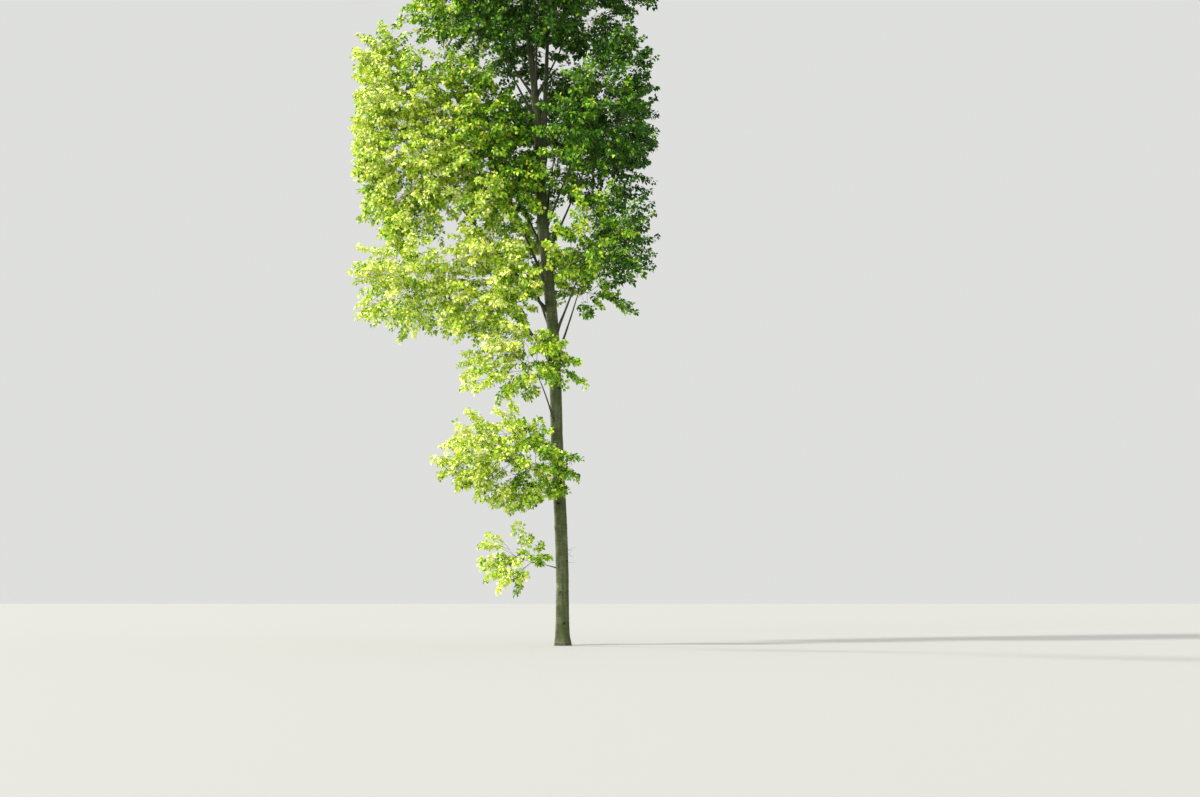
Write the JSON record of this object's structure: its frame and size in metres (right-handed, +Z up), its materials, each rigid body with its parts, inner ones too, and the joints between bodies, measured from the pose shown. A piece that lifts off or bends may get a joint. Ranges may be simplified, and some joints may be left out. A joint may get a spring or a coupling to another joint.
{
  "type": "poplar tree",
  "caption": "A whole plantation-grown poplar in leaf: a tall clean forked stem, steep slender boughs and a light crown that leans out to one side, rooted at a flat cut",
  "frame": {"origin": "on the ground, at the middle of the flat cut under the trunk", "axes": "+Z up along the trunk; -X towards the side where the crown reaches furthest and lowest, the left of the picture; -Y towards the picture's camera"},
  "size_m": [9.4283, 7.9447, 28.1687],
  "materials": {
    "bark": "matte bark",
    "bough_bark": "matte bark",
    "leaves_sunlit": "soft leaf",
    "leaves_shaded": "soft leaf"
  },
  "bodies": {
    "root": {"bough_far_left": "bough_bark", "bough_high_left": "bough_bark", "bough_inner_left": "bough_bark", "bough_ledge": "bough_bark", "bough_low_spray": "bough_bark", "bough_lower": "bough_bark", "bough_outer_left": "bough_bark", "bough_shoulder_1": "bough_bark", "bough_shoulder_2": "bough_bark", "bough_shoulder_3": "bough_bark", "bough_shoulder_4": "bough_bark", "bough_skirt_1": "bough_bark", "bough_skirt_2": "bough_bark", "bough_skirt_3": "bough_bark", "bough_upper_1": "bough_bark", "bough_upper_2": "bough_bark", "bough_upper_3": "bough_bark", "bough_waist_1": "bough_bark", "bough_waist_2": "bough_bark", "bough_waist_3": "bough_bark", "bough_waist_4": "bough_bark", "bough_waist_5": "bough_bark", "foliage_far_left": "leaves_sunlit", "foliage_high_left": "leaves_sunlit", "foliage_inner_left": "leaves_sunlit", "foliage_ledge": "leaves_sunlit", "foliage_low_spray": "leaves_sunlit", "foliage_lower": "leaves_sunlit", "foliage_outer_left": "leaves_sunlit", "foliage_shoulder_1": "leaves_shaded", "foliage_shoulder_2": "leaves_shaded", "foliage_shoulder_3": "leaves_shaded", "foliage_shoulder_4": "leaves_shaded", "foliage_skirt_1": "leaves_shaded", "foliage_skirt_2": "leaves_shaded", "foliage_skirt_3": "leaves_shaded", "foliage_top": "leaves_sunlit", "foliage_upper_1": "leaves_shaded", "foliage_upper_2": "leaves_shaded", "foliage_upper_3": "leaves_shaded", "foliage_waist_1": "leaves_shaded", "foliage_waist_2": "leaves_shaded", "foliage_waist_3": "leaves_shaded", "foliage_waist_4": "leaves_shaded", "foliage_waist_5": "leaves_shaded", "second_leader": "bark", "trunk": "bark"}
  },
  "joints": []
}
